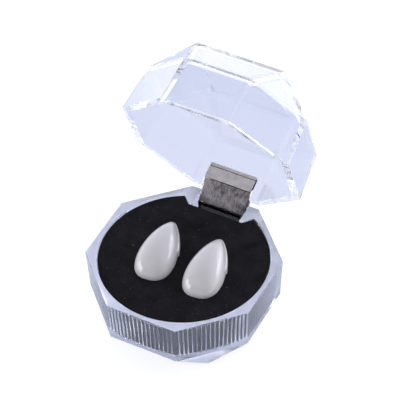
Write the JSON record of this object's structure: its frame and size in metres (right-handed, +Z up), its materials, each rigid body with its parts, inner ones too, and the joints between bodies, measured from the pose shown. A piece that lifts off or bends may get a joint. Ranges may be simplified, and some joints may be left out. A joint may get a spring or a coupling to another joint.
{
  "type": "pair of vampire fang caps in a hinged clear box",
  "caption": "Glossy white vampire fang caps with open tooth hollows, lying on a notched velvet pad in a faceted clear box whose lid stands open on a sheet-steel hinge.",
  "frame": {"origin": "middle of the square foot's underside", "axes": "+Z up; +Y from the box's middle towards its hinge; +X along the hinge pin"},
  "size_m": [0.04, 0.0553, 0.0581],
  "materials": {
    "clear_acrylic": "polished clear acrylic with a faint cool tint",
    "black_velvet": "short black pile",
    "glossy_white_resin": "glossy white, slightly translucent",
    "satin_steel": "satin",
    "spring_steel": "rough rolled, with fine scratches"
  },
  "bodies": {
    "box": {"box_base": "clear_acrylic", "velvet_pad": "black_velvet", "fang_left": "glossy_white_resin", "fang_right": "glossy_white_resin", "hinge_base_leaf": "satin_steel", "hinge_pin": "satin_steel"},
    "lid": {"lid_shell": "clear_acrylic", "hinge_lid_leaf": "satin_steel"},
    "cover": {"hinge_cover": "spring_steel"}
  },
  "joints": [
    {"name": "lid_hinge", "type": "hinge", "parent": "box", "child": "lid", "pos_m": [0, 0.0204, 0.01715], "axis": [1, 0, 0], "range_deg": [0, 70.5]},
    {"name": "cover_hinge", "type": "hinge", "parent": "box", "child": "cover", "pos_m": [0, 0.0204, 0.01715], "axis": [1, 0, 0], "range_deg": [0, 35.25]}
  ],
  "couplings": [
    {"joint": "cover_hinge", "follows": "lid_hinge", "ratio": 0.5}
  ]
}
